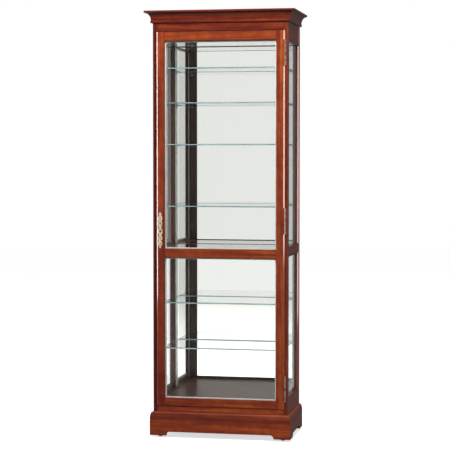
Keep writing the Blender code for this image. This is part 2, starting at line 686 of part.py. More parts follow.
def door_rail(name, low, high, pane_above, pane_below):
    front = FRONT_Y
    back = FRONT_Y + DOOR_THICKNESS
    pane_centre = FRONT_Y + DOOR_PANE_FACE + PANE_THICKNESS / 2
    half = PANE_THICKNESS / 2 + GAP
    corners = [(front, low, PANE_SIDE_ROUND if pane_below else EDGE_ROUND)]
    if pane_below:
        deep = low + GROOVE_DEPTH
        corners += [(pane_centre - half, low), (pane_centre - half, deep),
                    (pane_centre + half, deep), (pane_centre + half, low)]
    corners += [(back, low), (back, high)]
    if pane_above:
        deep = high - GROOVE_DEPTH
        corners += [(pane_centre + half, high), (pane_centre + half, deep),
                    (pane_centre - half, deep), (pane_centre - half, high)]
    corners.append((front, high, PANE_SIDE_ROUND if pane_above else EDGE_ROUND))
    end = STILE_INNER - GAP
    place(name, bar_x(rounded(corners, 4), -end, end), CHERRY, door)


def door_panes():
    reach = STILE_INNER + PANE_IN_GROOVE
    front = FRONT_Y + DOOR_PANE_FACE
    for name, low, high in (("door_glass_upper", DOOR_MID_RAIL[1], DOOR_TOP_RAIL_BOTTOM),
                            ("door_glass_lower", DOOR_BOTTOM_RAIL_TOP, DOOR_MID_RAIL[0])):
        bm = box((-reach, front, low - PANE_IN_GROOVE),
                 (reach, front + PANE_THICKNESS, high + PANE_IN_GROOVE))
        place(name, bm, CLEAR_GLASS, door)


def escutcheon():
    """A flat pierced plate whose outline is the union of its lobes."""
    def half_width(z):
        widest = ESCUTCHEON_NECK
        for centre, half_height, half in ESCUTCHEON_LOBES:
            reach = 1 - ((z - centre) / half_height) ** 2
            if reach > 0:
                widest = max(widest, half * math.sqrt(reach))
        return widest

    low = ESCUTCHEON_LOBES[0][0] - ESCUTCHEON_LOBES[0][1]
    high = ESCUTCHEON_LOBES[-1][0] + ESCUTCHEON_LOBES[-1][1]
    heights = [low + (high - low) * step / ESCUTCHEON_STEPS for step in range(ESCUTCHEON_STEPS + 1)]
    outline = [(LOCK_X + half_width(z), z) for z in heights]
    outline += [(LOCK_X - half_width(z), z) for z in reversed(heights)]
    back = FRONT_Y - GAP
    plate = place("escutcheon", bar_y(outline, back - ESCUTCHEON_THICKNESS, back), PALE_BRASS, door)
    for number, (centre, half_height, half) in enumerate(ESCUTCHEON_HOLES):
        hole = cylinder(1.0, (0, -CUT_REACH, 0), (0, CUT_REACH, 0), ESCUTCHEON_HOLE_SIDES)
        bmesh.ops.scale(hole, vec=(half, 1.0, half_height), verts=hole.verts)
        bmesh.ops.translate(hole, vec=(LOCK_X, back, centre), verts=hole.verts)
        combine(plate, place_cutter("escutcheon_hole_%d" % number, hole), "DIFFERENCE")


def lock(stile, post):
    """A lock plug through the stile, with a cam that turns behind the front post's lip."""
    plug_front = FRONT_Y - ESCUTCHEON_THICKNESS - GAP
    cam_front = FRONT_Y + DOOR_THICKNESS + GAP
    cam_back = cam_front + CAM_THICKNESS
    pivot = make_pivot("lock_axis", (LOCK_X, FRONT_Y, LOCK_Z), door)
    barrel = cylinder(LOCK_RADIUS, (LOCK_X, plug_front, LOCK_Z), (LOCK_X, cam_back, LOCK_Z))
    plug = place("lock_plug", barrel, STEEL, pivot)
    cam = box((LOCK_X - CAM_WIDTH / 2, cam_front, LOCK_Z - CAM_LENGTH),
              (LOCK_X + CAM_WIDTH / 2, cam_back + CAM_CLEARANCE, LOCK_Z + CAM_WIDTH / 2))
    combine(plug, place_cutter("lock_cam", cam), "UNION")
    half, deep, reach = KEYWAY
    keyway = box((LOCK_X - half, plug_front - CUT_REACH, LOCK_Z - reach),
                 (LOCK_X + half, plug_front + deep, LOCK_Z + reach))
    combine(plug, place_cutter("lock_keyway", keyway), "DIFFERENCE")

    hole = cylinder(LOCK_RADIUS + LOCK_CLEARANCE, (LOCK_X, FRONT_Y - CUT_REACH, LOCK_Z),
                    (LOCK_X, FRONT_Y + DOOR_THICKNESS + CUT_REACH, LOCK_Z))
    combine(stile, place_cutter("lock_hole", hole), "DIFFERENCE")
    swing = CAM_LENGTH + CAM_CLEARANCE
    slot_front = FRONT_Y + DOOR_THICKNESS - 2 * CAM_CLEARANCE
    slot = box((LOCK_X - swing - CAM_CLEARANCE, slot_front, LOCK_Z - swing),
               (LOCK_X + CAM_CLEARANCE, cam_back + 2 * CAM_CLEARANCE, LOCK_Z + swing))
    combine(post, place_cutter("lock_slot", slot), "DIFFERENCE")


def hinge(word, low, high, stile, post):
    """A butt hinge: the frame leaf carries the pin, and the door leaf turns on it."""
    length = (high - low) / KNUCKLES
    leaf_front = FRONT_Y + LEAF_SET_BACK
    leaf_back = FRONT_Y + LEAF_DEPTH
    for kind, side, pivot, cut_into in (("frame", 1, carcass, post), ("door", -1, door, stile)):
        near, far = sorted((HINGE_X + side * LEAF_OFFSET, HINGE_X + side * (LEAF_OFFSET + LEAF_THICKNESS)))
        own = range(0, KNUCKLES, 2) if kind == "frame" else range(1, KNUCKLES, 2)
        leaf = place("hinge_%s_%s_leaf" % (word, kind), box((near, leaf_front, low), (far, leaf_back, high)),
                     BRONZE, pivot)
        for number in own:
            start = low + number * length + (KNUCKLE_GAP / 2 if number else 0)
            end = low + (number + 1) * length - (KNUCKLE_GAP / 2 if number < KNUCKLES - 1 else 0)
            tab = box((near, HINGE_Y, start), (far, leaf_front + LEAF_LAP, end))
            combine(leaf, place_cutter("tab_%s_%s_%d" % (word, kind, number), tab), "UNION")
            knuckle = cylinder(BARREL_RADIUS, (HINGE_X, HINGE_Y, start),
                               (HINGE_X, HINGE_Y, end), BARREL_SIDES)
            combine(leaf, place_cutter("knuckle_%s_%s_%d" % (word, kind, number), knuckle), "UNION")
        if kind == "frame":
            pin = cylinder(PIN_RADIUS, (HINGE_X, HINGE_Y, low + PIN_END),
                           (HINGE_X, HINGE_Y, high - PIN_END), PIN_SIDES)
            combine(leaf, place_cutter("pin_" + word, pin), "UNION")
        else:
            bore = cylinder(PIN_BORE, (HINGE_X, HINGE_Y, low), (HINGE_X, HINGE_Y, high), PIN_SIDES)
            combine(leaf, place_cutter("bore_" + word, bore), "DIFFERENCE")
        mortise = box((near - GAP, FRONT_Y - LEAF_LAP, low - GAP), (far + GAP, leaf_back + GAP, high + GAP))
        combine(cut_into, place_cutter("mortise_%s_%s" % (word, kind), mortise), "DIFFERENCE")


def build_door(left_post, right_post):
    left_stile = door_stile(-1)
    right_stile = door_stile(1)
    door_rail("door_top_rail", DOOR_TOP_RAIL_BOTTOM, DOOR_TOP, False, True)
    door_rail("door_mid_rail", *DOOR_MID_RAIL, True, True)
    door_rail("door_bottom_rail", DOOR_BOTTOM, DOOR_BOTTOM_RAIL_TOP, True, False)
    door_panes()
    escutcheon()
    lock(left_stile, left_post)
    for word, (low, high) in zip(("lower", "middle", "upper"), HINGE_HEIGHTS):
        hinge(word, low, high, right_stile, right_post)


def build_carcass():
    for side, word in ((-1, "left"), (1, "right")):
        rear_post(side)
        side_rails(side, word)
        side_panes(side, word)
    front_rails()
    horizontal_panels()
    middle_shelf()
    glass_shelves()
    back()
    crown()
    base_moulding()
    plinth()
    levelers()


clear_scene()
cabinet = make_collection("curio_cabinet")
cutters = make_collection("cutters")
carcass = make_pivot("carcass", (0.0, 0.0, 0.0))
door = make_pivot("door_axis", (HINGE_X, HINGE_Y, DOOR_BOTTOM), carcass)
build_carcass()
build_door(front_post(-1), front_post(1))
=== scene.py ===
"""Looks for the curio cabinet: materials, fine pieces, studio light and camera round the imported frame.

Every position comes from the frame's own boxes. Units are metres and +Z is up; the door faces -Y.
"""

import json
import math

import bmesh
import bpy
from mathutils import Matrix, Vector


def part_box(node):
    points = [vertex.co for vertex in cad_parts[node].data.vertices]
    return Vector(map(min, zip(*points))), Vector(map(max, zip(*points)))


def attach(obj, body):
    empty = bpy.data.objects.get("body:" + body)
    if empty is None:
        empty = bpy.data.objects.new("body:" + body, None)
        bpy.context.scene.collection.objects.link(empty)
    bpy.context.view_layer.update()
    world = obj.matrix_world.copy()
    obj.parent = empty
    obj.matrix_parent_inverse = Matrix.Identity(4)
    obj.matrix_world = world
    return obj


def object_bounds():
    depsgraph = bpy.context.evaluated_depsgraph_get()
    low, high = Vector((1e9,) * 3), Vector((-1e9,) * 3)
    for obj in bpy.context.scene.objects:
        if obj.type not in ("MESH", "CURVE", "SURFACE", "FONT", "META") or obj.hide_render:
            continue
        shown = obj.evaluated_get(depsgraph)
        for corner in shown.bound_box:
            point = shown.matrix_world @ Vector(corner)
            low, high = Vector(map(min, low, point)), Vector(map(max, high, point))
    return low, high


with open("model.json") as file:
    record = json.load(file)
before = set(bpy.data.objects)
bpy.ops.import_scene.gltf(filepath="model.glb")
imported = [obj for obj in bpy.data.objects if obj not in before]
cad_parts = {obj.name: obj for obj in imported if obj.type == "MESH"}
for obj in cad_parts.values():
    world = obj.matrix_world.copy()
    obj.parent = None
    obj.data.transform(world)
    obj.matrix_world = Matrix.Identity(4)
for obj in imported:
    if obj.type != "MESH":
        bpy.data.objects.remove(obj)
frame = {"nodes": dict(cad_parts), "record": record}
CAD_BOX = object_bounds()
NODES = frame["nodes"]
SIDES = ((-1, "left"), (1, "right"))
ALONG = {"x": (1, 0, 0), "y": (0, 1, 0), "z": (0, 0, 1)}


# ---------------------------------------------------------------- node helpers
class Nodes:
    """A node tree, with short ways to add nodes to it."""

    def __init__(self, node_tree):
        self.nodes = node_tree.nodes
        self.links = node_tree.links

    def link(self, source, target):
        self.links.new(source, target)

    def feed(self, socket, value):
        """Link a socket or set a constant."""
        if isinstance(value, bpy.types.NodeSocket):
            self.links.new(value, socket)
        else:
            socket.default_value = value

    def split(self, vector):
        """The x, y and z parts of a vector."""
        node = self.nodes.new("ShaderNodeSeparateXYZ")
        self.link(vector, node.inputs["Vector"])
        return [node.outputs[axis] for axis in "XYZ"]

    def noise(self, vector, scale, detail=4.0, roughness=0.55, distortion=0.0):
        node = self.nodes.new("ShaderNodeTexNoise")
        self.link(vector, node.inputs["Vector"])
        node.inputs["Scale"].default_value = scale
        node.inputs["Detail"].default_value = detail
        node.inputs["Roughness"].default_value = roughness
        node.inputs["Distortion"].default_value = distortion
        return node.outputs["Fac"]

    def ramp(self, factor, stops):
        """stops are (position, colour) pairs."""
        node = self.nodes.new("ShaderNodeValToRGB")
        elements = node.color_ramp.elements
        while len(elements) < len(stops):
            elements.new(0.5)
        for element, (position, colour) in zip(elements, stops):
            element.position = position
            element.color = (*colour, 1.0)
        self.link(factor, node.inputs["Fac"])
        return node.outputs["Color"]

    def span(self, factor, low, high, start=0.0, end=1.0, curve="LINEAR"):
        """Map a factor from start..end to low..high."""
        node = self.nodes.new("ShaderNodeMapRange")
        node.interpolation_type = curve
        self.link(factor, node.inputs["Value"])
        node.inputs["From Min"].default_value = start
        node.inputs["From Max"].default_value = end
        node.inputs["To Min"].default_value = low
        node.inputs["To Max"].default_value = high
        return node.outputs["Result"]

    def blend(self, factor, first, second):
        """A number between first and second."""
        node = self.nodes.new("ShaderNodeMix")
        node.data_type = "FLOAT"
        self.feed(node.inputs["Factor"], factor)
        self.feed(node.inputs["A"], first)
        self.feed(node.inputs["B"], second)
        return node.outputs["Result"]

    def mix(self, factor, first, second):
        """A colour between first and second."""
        node = self.nodes.new("ShaderNodeMix")
        node.data_type = "RGBA"
        self.feed(node.inputs["Factor"], factor)
        for socket, value in ((node.inputs["A"], first), (node.inputs["B"], second)):
            self.feed(socket, (*value, 1.0) if isinstance(value, tuple) else value)
        return node.outputs["Result"]

    def math(self, operation, first, second=0.0):
        node = self.nodes.new("ShaderNodeMath")
        node.operation = operation
        self.feed(node.inputs[0], first)
        self.feed(node.inputs[1], second)
        return node.outputs["Value"]


class Tree(Nodes):
    """A material's node tree with its Principled shader."""

    def __init__(self, name):
        self.material = bpy.data.materials.new(name)
        self.material.use_nodes = True
        super().__init__(self.material.node_tree)
        self.shader = self.nodes["Principled BSDF"]
        self.output = self.nodes["Material Output"]

    def set(self, **values):
        """Constant values on the shader's own sockets."""
        for key, value in values.items():
            socket = self.shader.inputs[key.replace("_", " ").title().replace("Ior", "IOR")]
            socket.default_value = (*value, 1.0) if isinstance(value, tuple) else value

    def drive(self, name, source):
        """Link a source to one of the shader's own sockets."""
        self.link(source, self.shader.inputs[name])

    def place(self, scale=(1, 1, 1), shift=(0, 0, 0)):
        """The piece's own coordinates, scaled and shifted."""
        coordinates = self.nodes.new("ShaderNodeTexCoord")
        mapping = self.nodes.new("ShaderNodeMapping")
        mapping.inputs["Location"].default_value = shift
        mapping.inputs["Scale"].default_value = scale
        self.link(coordinates.outputs["Object"], mapping.inputs["Vector"])
        return mapping.outputs["Vector"]

    def bump(self, height, strength, distance, below=None):
        node = self.nodes.new("ShaderNodeBump")
        node.inputs["Strength"].default_value = strength
        node.inputs["Distance"].default_value = distance
        self.link(height, node.inputs["Height"])
        if below:
            self.link(below, node.inputs["Normal"])
        return node.outputs["Normal"]


# ---------------------------------------------------------------- places taken from the frame
DOOR_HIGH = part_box("door_stile_left")[1]
DOOR_BACK = DOOR_HIGH[1]
STILE_INNER = -DOOR_HIGH[0]
PANE_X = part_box("side_glass_upper_right")[0][0]      # inner face of a side pane
BASE_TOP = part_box("deck_floor")[0][2]
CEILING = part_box("ceiling_panel")[0][2]

# ---------------------------------------------------------------- materials
# Linear colours, dark to light.
CHERRY_TONES = ((0.095, 0.0080, 0.0045), (0.220, 0.0340, 0.0085), (0.390, 0.0790, 0.0130))
# INSIDE_TONES are the same cherry, much darker: painted shade for the wood inside the case.
INSIDE_TONES = ((0.016, 0.0065, 0.0045), (0.040, 0.0160, 0.0095), (0.072, 0.0300, 0.0165))
# Painted shade for the cherry's faces inside the case.
SHADOWED = (0.028, 0.0190, 0.0125)
# Darker colour at members' edges: partly toning in the finish, partly painted shade in joints and recesses.
EDGE_TONE_AND_SHADE = (0.055, 0.0045, 0.0045)
# Painted shade seen through the escutcheon's openings.
HOLE_SHADE = (0.012, 0.009, 0.007)
TONE_STOPS = (0.36, 0.50, 0.64)                      # where the three tones lie in the mixed grain
FIGURE_SHARE, STREAK_SHARE, MOTTLE_SHARE = 0.45, 0.33, 0.22

# How much paler or darker each member is made, by the start of its name; the first match counts. Part is the
# stain's own tone; the side rails, the side mid rails most, are darker as painted shade for the dim light on
# the sides.
MEMBER_SHADES = (
    ("frieze", -0.055),
    ("crown_front", -0.045),
    ("crown", -0.065),
    ("door_top_rail", 0.030),
    ("door_mid_rail", 0.020),
    ("door_bottom_rail", 0.030),
    ("door_stile_right", 0.030),
    ("front_post_left", -0.150),
    ("side_mid", -0.110),
    ("side_", -0.050),
    ("deck", -0.060),
    ("base_moulding", 0.035),
    ("plinth_left", -0.030),
    ("plinth_right", -0.030),
)
LOCK_STILE_SHADES = (-0.085, 0.030)                  # painted shade: the lock stile darker towards its foot, at the two heights below
LOCK_STILE_HEIGHTS = (0.20, 1.70)

# The space inside the case, whose wood gets painted shade.
CASE_SIDE = PANE_X + 0.0020
CASE_FRONT = DOOR_BACK - 0.0010
CASE_BOTTOM = BASE_TOP - 0.0100
CASE_TOP = CEILING + 0.0120

PANE_IOR = 1.15                                      # low, so that panes seen at a slant stay clear
POLISHED_WIDTH = 0.0100                              # of the outer arris on a door stile or a rear post
PIERCED_HALF_WIDTH = 0.0050                          # of the escutcheon's openings
PIERCED_SHARE = 0.42                                 # of its height, up and down from its middle
LOOSE_EDGE = 0.0006                                  # softened arris on every wooden piece
CAST_EDGE = 0.0008                                   # softened arris on the escutcheon
SHARP_ANGLE = math.radians(38)                       # edges bent more than this are arrises
WELD_REACH = 0.00002


def inside_mask(tree):
    """1 on wood inside the case, where shade is painted, 0 outside it."""
    x, y, z = tree.split(tree.place())
    within = tree.math("LESS_THAN", tree.math("ABSOLUTE", x), CASE_SIDE)
    behind = tree.math("GREATER_THAN", y, CASE_FRONT)
    above = tree.math("GREATER_THAN", z, CASE_BOTTOM)
    below = tree.math("LESS_THAN", z, CASE_TOP)
    return tree.math("MULTIPLY", tree.math("MULTIPLY", within, behind), tree.math("MULTIPLY", above, below))


def edge_mask(tree, node, axis):
    """0 along the middle of a member's face, rising to 1 at its long edges."""
    low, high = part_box(node)
    widths = [0.0 if name == axis else high[i] - low[i] for i, name in enumerate("xyz")]
    across = widths.index(max(widths))
    offset = tree.math("SUBTRACT", tree.split(tree.place())[across], (low[across] + high[across]) / 2)
    return tree.math("DIVIDE", tree.math("ABSOLUTE", offset), widths[across] / 2)


def bright_edge(tree, node):
    """1 on the outer arris of a door stile or a rear post, which is polished by hands, else 0."""
    low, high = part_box(node)
    x, y, _ = tree.split(tree.place())
    outer = max(abs(low[0]), abs(high[0]))
    near = tree.math("GREATER_THAN", tree.math("ABSOLUTE", x), outer - POLISHED_WIDTH)
    front = tree.math("LESS_THAN", y, low[1] + POLISHED_WIDTH)
    return tree.math("MULTIPLY", near, front)


def pierced_mask(tree):
    """1 on the wood seen through the escutcheon's openings, which is painted dark as shade in the holes."""
    low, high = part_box("escutcheon")
    x, _, z = tree.split(tree.place())
    across = tree.math("SUBTRACT", x, (low[0] + high[0]) / 2)
    up = tree.math("SUBTRACT", z, (low[2] + high[2]) / 2)
    near = tree.math("LESS_THAN", tree.math("ABSOLUTE", across), PIERCED_HALF_WIDTH)
    level = tree.math("LESS_THAN", tree.math("ABSOLUTE", up), PIERCED_SHARE * (high[2] - low[2]))
    return tree.math("MULTIPLY", near, level)


def member_shade(tree, node):
    """How much paler or darker a member is made than the others, partly the stain's tone and partly painted
    shade; the lock stile changes upwards, its painted shade darker towards its foot.
    """
    if node == "door_stile_left":
        return tree.span(tree.split(tree.place())[2], *LOCK_STILE_SHADES, *LOCK_STILE_HEIGHTS)
    for start, shade in MEMBER_SHADES:
        if node.startswith(start):
            return shade
    return 0.0


def wood(name, node, axis, seed, tones, toning_and_shade=0.55):
    """Lacquered cherry: long figure and fine streaks along the member, pores, uneven stain, edges darkened
    partly by toning and partly by painted shade, and painted shade inside the case.
    """
    tree = Tree(name)
    shift = (3.7 * seed, 1.9 * seed, 2.3 * seed)
    grain = ALONG[axis]

    def stretched(across, along):
        return tree.place(tuple(along if g else across for g in grain), shift)

    figure = tree.noise(stretched(26, 1.3), 1.0, 3.0, 0.5, 1.2)
    streak = tree.noise(stretched(170, 3.5), 1.0, 5.0, 0.62)
    pore = tree.noise(stretched(1100, 42), 1.0, 2.0, 0.5)
    stain = tree.noise(tree.place((1, 1, 1), shift), 4.5, 3.0, 0.55)
    mottle = tree.noise(tree.place((1, 1, 1), shift), 24.0, 3.0, 0.6)

    figured = tree.math("MULTIPLY", figure, FIGURE_SHARE)
    body = tree.math("ADD", figured, tree.math("MULTIPLY", streak, STREAK_SHARE))
    body = tree.math("ADD", body, tree.math("MULTIPLY", mottle, MOTTLE_SHARE))
    body = tree.math("ADD", body, member_shade(tree, node))
    colour = tree.ramp(body, list(zip(TONE_STOPS, tones)))
    colour = tree.mix(tree.span(stain, 0.0, 0.45, 0.42, 0.72), colour, tones[0])
    pores = tree.span(pore, 0.50, 0.0, 0.30, 0.42)
    colour = tree.mix(pores, colour, tuple(0.4 * channel for channel in tones[0]))
    # Darker towards each member's long edges: partly toning in the finish, partly painted shade in the
    # joints and recesses.
    toned_and_shaded = tree.math("ADD", edge_mask(tree, node, axis), tree.math("MULTIPLY", mottle, 0.25))
    colour = tree.mix(tree.span(toned_and_shaded, 0.0, toning_and_shade, 0.72, 1.12), colour, EDGE_TONE_AND_SHADE)
    # Painted shade on the cherry inside the case.
    if tones is CHERRY_TONES:
        colour = tree.mix(tree.math("MULTIPLY", inside_mask(tree), 0.9), colour, SHADOWED)
    # Painted shade in the escutcheon's openings.
    if node == "door_stile_left":
        colour = tree.mix(tree.math("MULTIPLY", pierced_mask(tree), 0.85), colour, HOLE_SHADE)
    tree.drive("Base Color", colour)
    tree.drive("Roughness", tree.span(streak, 0.27, 0.42))
    skin = tree.bump(streak, 0.10, 0.0004)
    tree.drive("Normal", tree.bump(pore, 0.12, 0.0002, skin))
    gloss, level = (0.20, 0.22) if tones is CHERRY_TONES else (0.08, 0.05)
    tree.set(coat_weight=gloss, coat_roughness=0.10, specular_ior_level=level)
    if node.startswith(("door_stile", "rear_post")):
        tree.drive("Coat Weight", tree.span(bright_edge(tree, node), gloss, 1.0))
    return tree.material


def glass(name, tint, rim):
    """Clear glass that lets lamps through, a little greener where it is seen at a slant."""
    tree = Tree(name)
    slant = tree.nodes.new("ShaderNodeLayerWeight")
    slant.inputs["Blend"].default_value = 0.35
    tree.drive("Base Color", tree.mix(slant.outputs["Facing"], tint, rim))
    tree.set(transmission_weight=1.0, roughness=0.0, ior=PANE_IOR)
    tree.link(let_lamps_through(tree, tint), tree.output.inputs["Surface"])
    return tree.material


def let_lamps_through(tree, tint):
    """The tree's shader, but clear to shadow and diffuse rays."""
    clear = tree.nodes.new("ShaderNodeBsdfTransparent")
    clear.inputs["Color"].default_value = (*tint, 1.0)
    ray = tree.nodes.new("ShaderNodeLightPath")
    surface = tree.shader.outputs["BSDF"]
    for kind in ("Is Diffuse Ray", "Is Shadow Ray"):
        switch = tree.nodes.new("ShaderNodeMixShader")
        tree.link(ray.outputs[kind], switch.inputs["Fac"])
        tree.link(surface, switch.inputs[1])
        tree.link(clear.outputs["BSDF"], switch.inputs[2])
        surface = switch.outputs["Shader"]
    return surface


def shelf_glass():
    """A glass shelf: clear through its faces, and a cloudy blue-green along its ground edges."""
    tree = Tree("shelf_glass")
    tint = (0.965, 0.985, 0.98)
    tree.set(base_color=tint, transmission_weight=1.0, roughness=0.0, ior=PANE_IOR)
    clear = let_lamps_through(tree, tint)

    rim = tree.nodes.new("ShaderNodeBsdfPrincipled")
    cloud = tree.noise(tree.place((9, 9, 160)), 1.0, 4.0)
    green = tree.mix(tree.span(cloud, 0.0, 1.0, 0.35, 0.65), (0.20, 0.36, 0.41), (0.38, 0.55, 0.59))
    tree.link(green, rim.inputs["Base Color"])
    tree.link(tree.span(cloud, 0.10, 0.24), rim.inputs["Roughness"])
    rim.inputs["Coat Weight"].default_value = 0.5
    rim.inputs["IOR"].default_value = 1.46

    coordinates = tree.nodes.new("ShaderNodeTexCoord")
    flat = tree.math("ABSOLUTE", tree.split(coordinates.outputs["Normal"])[2])
    edge = tree.math("LESS_THAN", flat, 0.5)
    both = tree.nodes.new("ShaderNodeMixShader")
    tree.link(edge, both.inputs["Fac"])
    tree.link(clear, both.inputs[1])
    tree.link(rim.outputs["BSDF"], both.inputs[2])
    tree.link(both.outputs["Shader"], tree.output.inputs["Surface"])
    return tree.material


def mirror():
    """Silvered glass with the faintest unevenness in its gloss."""
    tree = Tree("silvered_mirror")
    cloud = tree.noise(tree.place((1, 1, 1)), 3.0, 4.0)
    tree.drive("Base Color", tree.mix(cloud, (0.915, 0.905, 0.870), (0.940, 0.930, 0.895)))
    tree.drive("Roughness", tree.span(cloud, 0.000, 0.003))
    tree.set(metallic=1.0)
    return tree.material


def laminate():
    """The ceiling's white gloss face."""
    tree = Tree("white_laminate")
    cloud = tree.noise(tree.place(), 12.0, 3.0)
    tree.drive("Base Color", tree.mix(cloud, (0.80, 0.80, 0.78), (0.86, 0.86, 0.845)))
    tree.drive("Roughness", tree.span(cloud, 0.10, 0.16))
    tree.set(coat_weight=1.0, coat_roughness=0.03)
    return tree.material


def metal(name, deep, pale, rough, scale, brushed=(1, 1, 1), relief=0.06, bare=1.0):
    """Metal with patchy tarnish and fine scratches."""
    tree = Tree(name)
    patch = tree.noise(tree.place(), scale, 5.0, 0.6)
    scratch = tree.noise(tree.place(brushed), scale * 9, 3.0, 0.6)
    tree.drive("Base Color", tree.ramp(patch, ((0.32, deep), (0.62, pale))))
    tree.drive("Roughness", tree.span(scratch, rough * 0.75, rough * 1.35))
    tree.drive("Normal", tree.bump(scratch, relief, 0.0003))
    tree.set(metallic=bare)
    return tree.material


def board():
    """Pressed fibre board: matted short fibres, no gloss."""
    tree = Tree("hardboard")
    fibre = tree.noise(tree.place((420, 420, 90)), 1.0, 5.0, 0.7)
    cloud = tree.noise(tree.place(), 6.0, 3.0)
    stops = ((0.30, (0.075, 0.038, 0.020)), (0.55, (0.165, 0.092, 0.050)), (0.72, (0.26, 0.16, 0.095)))
    colour = tree.mix(tree.span(cloud, 0.0, 0.35, 0.4, 0.7), tree.ramp(fibre, stops), (0.10, 0.052, 0.028))
    tree.drive("Base Color", colour)
    tree.drive("Roughness", tree.span(fibre, 0.70, 0.92))
    tree.drive("Normal", tree.bump(fibre, 0.35, 0.0004))
    return tree.material


def moulded(name, dark, pale, rough, scale=900.0):
    """Moulded plastic or vinyl with a fine texture."""
    tree = Tree(name)
    grain = tree.noise(tree.place(), scale, 3.0)
    cloud = tree.noise(tree.place(), 40.0, 3.0)
    tree.drive("Base Color", tree.mix(cloud, dark, pale))
    tree.drive("Roughness", tree.span(cloud, rough * 0.8, rough * 1.2))
    tree.drive("Normal", tree.bump(grain, 0.25, 0.0003))
    return tree.material


CLEAR = glass("clear_glass", (0.97, 0.985, 0.98), (0.86, 0.93, 0.92))
SHELF = shelf_glass()
BRASS = metal("pale_brass", (0.62, 0.48, 0.26), (0.98, 0.90, 0.68), 0.26, 60, bare=0.60)
# Near-black steel for the lock's plug: painted shade in the keyhole.
KEYHOLE_SHADE_STEEL = metal("lock_steel", (0.015, 0.014, 0.013), (0.080, 0.075, 0.070), 0.34, 120)
BRONZE = metal("dark_bronze", (0.070, 0.055, 0.048), (0.400, 0.350, 0.310), 0.30, 90)
ZINC = metal("zinc_steel", (0.30, 0.29, 0.27), (0.62, 0.61, 0.58), 0.28, 70, (1, 1, 12))
VINYL = moulded("pale_vinyl", (0.52, 0.47, 0.46), (0.66, 0.61, 0.60), 0.35)
BLACK = moulded("black_foot", (0.012, 0.012, 0.013), (0.030, 0.029, 0.030), 0.5)
# The inside tones' painted shade, without darker edges, for the glazing beads and the mirror channel.
DARK_BEAD = wood("dark_bead", "door_mid_rail", "x", 77, INSIDE_TONES, 0.0)


def soften(node, width, segments=2):
    """Round a CAD node's arrises without touching its own mesh."""
    weld = NODES[node].modifiers.new("Weld", "WELD")
    weld.merge_threshold = WELD_REACH
    bevel = NODES[node].modifiers.new("Arris", "BEVEL")
    bevel.width = width
    bevel.segments = segments
    bevel.limit_method = "ANGLE"
    bevel.angle_limit = SHARP_ANGLE
    bevel.use_clamp_overlap = True


def dress(node, material):
    for slot in NODES[node].material_slots:
        slot.material = material


def grain_axis(node):
    """Wood grain runs along a member's longest side."""
    low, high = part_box(node)
    lengths = [b - a for a, b in zip(low, high)]
    return "xyz"[lengths.index(max(lengths))]


def dress_nodes():
    """Give every CAD node its finished material by its slot in the record."""
    shared = {"clear_glass": CLEAR, "mirror": mirror(), "hardboard": board(), "pale_brass": BRASS,
              "dark_bronze": BRONZE, "zinc_steel": ZINC, "black_foot": BLACK, "white_laminate": laminate()}
    for number, subpart in enumerate(frame["record"]["subparts"]):
        node, slot = subpart["node"], subpart["material_slot"]
        if node.startswith("glass_shelf"):
            dress(node, SHELF)
        # The lock's plug is dressed near black instead of its zinc: painted shade in the keyhole.
        elif node == "lock_plug":
            dress(node, KEYHOLE_SHADE_STEEL)
        elif slot in shared:
            dress(node, shared[slot])
        else:
            # Wood in the inside slot gets the darker tones, which are painted shade.
            tones = CHERRY_TONES if slot == "cherry" else INSIDE_TONES
            dress(node, wood("%s_%s" % (slot, node), node, grain_axis(node), number, tones))
            soften(node, LOOSE_EDGE)
    soften("escutcheon", CAST_EDGE, 3)


# ---------------------------------------------------------------- mesh helpers
def add_block(bm, low, high, edge=0.0):
    """A block between two corners, with its edges rounded."""
    size = Vector(high) - Vector(low)
    made = bmesh.ops.create_cube(bm, size=1.0)["verts"]
    bmesh.ops.scale(bm, vec=size, verts=made)
    bmesh.ops.translate(bm, vec=(Vector(low) + Vector(high)) / 2, verts=made)
    if edge:
        edges = list({e for v in made for e in v.link_edges})
        bmesh.ops.bevel(bm, geom=edges, offset=edge, segments=2, profile=0.5, affect="EDGES")


def bridge(bm, rings, closed=False):
    """Skin a run of equal rings, with caps unless the run is closed."""
    pairs = list(zip(rings, rings[1:]))
    if closed:
        pairs.append((rings[-1], rings[0]))
    count = len(rings[0])
    for first, second in pairs:
        for i in range(count):
            j = (i + 1) % count
            bm.faces.new((first[i], first[j], second[j], second[i]))
    if not closed:
        bm.faces.new(list(reversed(rings[0])))
        bm.faces.new(rings[-1])


def add_turned(bm, profile, centre, axis, count):
    """A round piece from (radius, distance) pairs along an axis, which is a unit vector."""
    turn = Vector((0, 0, 1)).rotation_difference(Vector(axis)).to_matrix()
    rings = []
    for radius, along in profile:
        ring = []
        for i in range(count):
            angle = 2 * math.pi * i / count
            point = Vector((radius * math.cos(angle), radius * math.sin(angle), along))
            ring.append(bm.verts.new(Vector(centre) + turn @ point))
        rings.append(ring)
    bridge(bm, rings)


def add_loop(bm, points, radius, count=8):
    """A round wire along a closed run of points that lie in a plane facing the front."""
    rings = []
    for i, point in enumerate(points):
        after = points[(i + 1) % len(points)]
        along = (Vector(after) - Vector(points[i - 1])).normalized()
        side = along.cross(Vector((0, 1, 0))).normalized()
        ring = []
        for k in range(count):
            angle = 2 * math.pi * k / count
            offset = side * math.cos(angle) + Vector((0, -1, 0)) * math.sin(angle)
            ring.append(bm.verts.new(Vector(point) + offset * radius))
        rings.append(ring)
    bridge(bm, rings, closed=True)


